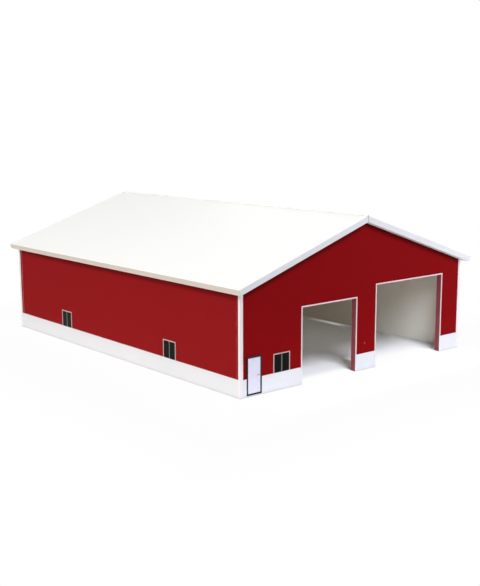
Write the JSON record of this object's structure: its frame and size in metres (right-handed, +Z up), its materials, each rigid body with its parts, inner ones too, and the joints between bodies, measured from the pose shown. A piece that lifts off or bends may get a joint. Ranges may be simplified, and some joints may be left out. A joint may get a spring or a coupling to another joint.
{
  "type": "model garage",
  "caption": "Model farm machine shed with open vehicle bays in one gable, applied walk door and windows, and a gable roof whose left half lifts on a ridge hinge.",
  "frame": {"origin": "on the surface it stands on, at the middle of the building", "axes": "+X to the right across the front gable, +Y from the front gable to the rear, +Z up"},
  "size_m": [0.3002, 0.3954, 0.1436],
  "materials": {
    "wall_board_red": "matt red paint on fibreboard outside, matt white inside",
    "roof_board_white": "satin white paint on fibreboard",
    "foot_band_white": "satin white styrene strip",
    "trim_strip_white": "white styrene strip",
    "hinge_white_enamel": "white enamel on rolled steel",
    "hinge_pin_steel": "drawn wire",
    "nail_brass": "plain",
    "nail_steel": "plain",
    "door_frame_black": "satin black styrene",
    "door_panel_white": "satin white styrene",
    "lever_grey": "grey metal lacquer",
    "window_frame_white": "off-white styrene",
    "window_stile_grey": "grey styrene",
    "window_pane_dark": "dark glossy film"
  },
  "bodies": {
    "shed": {"corner_strip_front_left": "trim_strip_white", "corner_strip_front_right": "trim_strip_white", "corner_strip_rear_left": "trim_strip_white", "corner_strip_rear_right": "trim_strip_white", "foot_band_front_left": "foot_band_white", "foot_band_front_pier": "foot_band_white", "foot_band_front_right": "foot_band_white", "foot_band_left": "foot_band_white", "foot_band_rear": "foot_band_white", "foot_band_right": "foot_band_white", "front_gable_wall": "wall_board_red", "front_window_frame": "window_frame_white", "front_window_panes": "window_pane_dark", "front_window_stile": "window_stile_grey", "hinge_leaf_fixed": "hinge_white_enamel", "hinge_nails_fixed": "nail_brass", "hinge_pin": "hinge_pin_steel", "left_bay_strip_head": "trim_strip_white", "left_bay_strip_left": "trim_strip_white", "left_bay_strip_right": "trim_strip_white", "left_side_wall": "wall_board_red", "rear_gable_wall": "wall_board_red", "right_bay_strip_head": "trim_strip_white", "right_bay_strip_left": "trim_strip_white", "right_bay_strip_right": "trim_strip_white", "right_side_wall": "wall_board_red", "roof_board_right": "roof_board_white", "walk_door_frame": "door_frame_black", "walk_door_lever": "lever_grey", "walk_door_panel": "door_panel_white", "wall_nails_front": "nail_steel", "wall_nails_rear": "nail_steel", "window_left_front_frame": "window_frame_white", "window_left_front_panes": "window_pane_dark", "window_left_front_stile": "window_stile_grey", "window_left_rear_frame": "window_frame_white", "window_left_rear_panes": "window_pane_dark", "window_left_rear_stile": "window_stile_grey", "window_right_front_frame": "window_frame_white", "window_right_front_panes": "window_pane_dark", "window_right_front_stile": "window_stile_grey", "window_right_rear_frame": "window_frame_white", "window_right_rear_panes": "window_pane_dark", "window_right_rear_stile": "window_stile_grey"},
    "roof_lid": {"roof_board_left": "roof_board_white", "hinge_leaf_moving": "hinge_white_enamel", "hinge_nails_moving": "nail_brass"}
  },
  "joints": [
    {"name": "roof_lift", "type": "hinge", "parent": "shed", "child": "roof_lid", "pos_m": [0, 0, 0.14261], "axis": [0, 1, 0], "range_deg": [0, 205]}
  ]
}
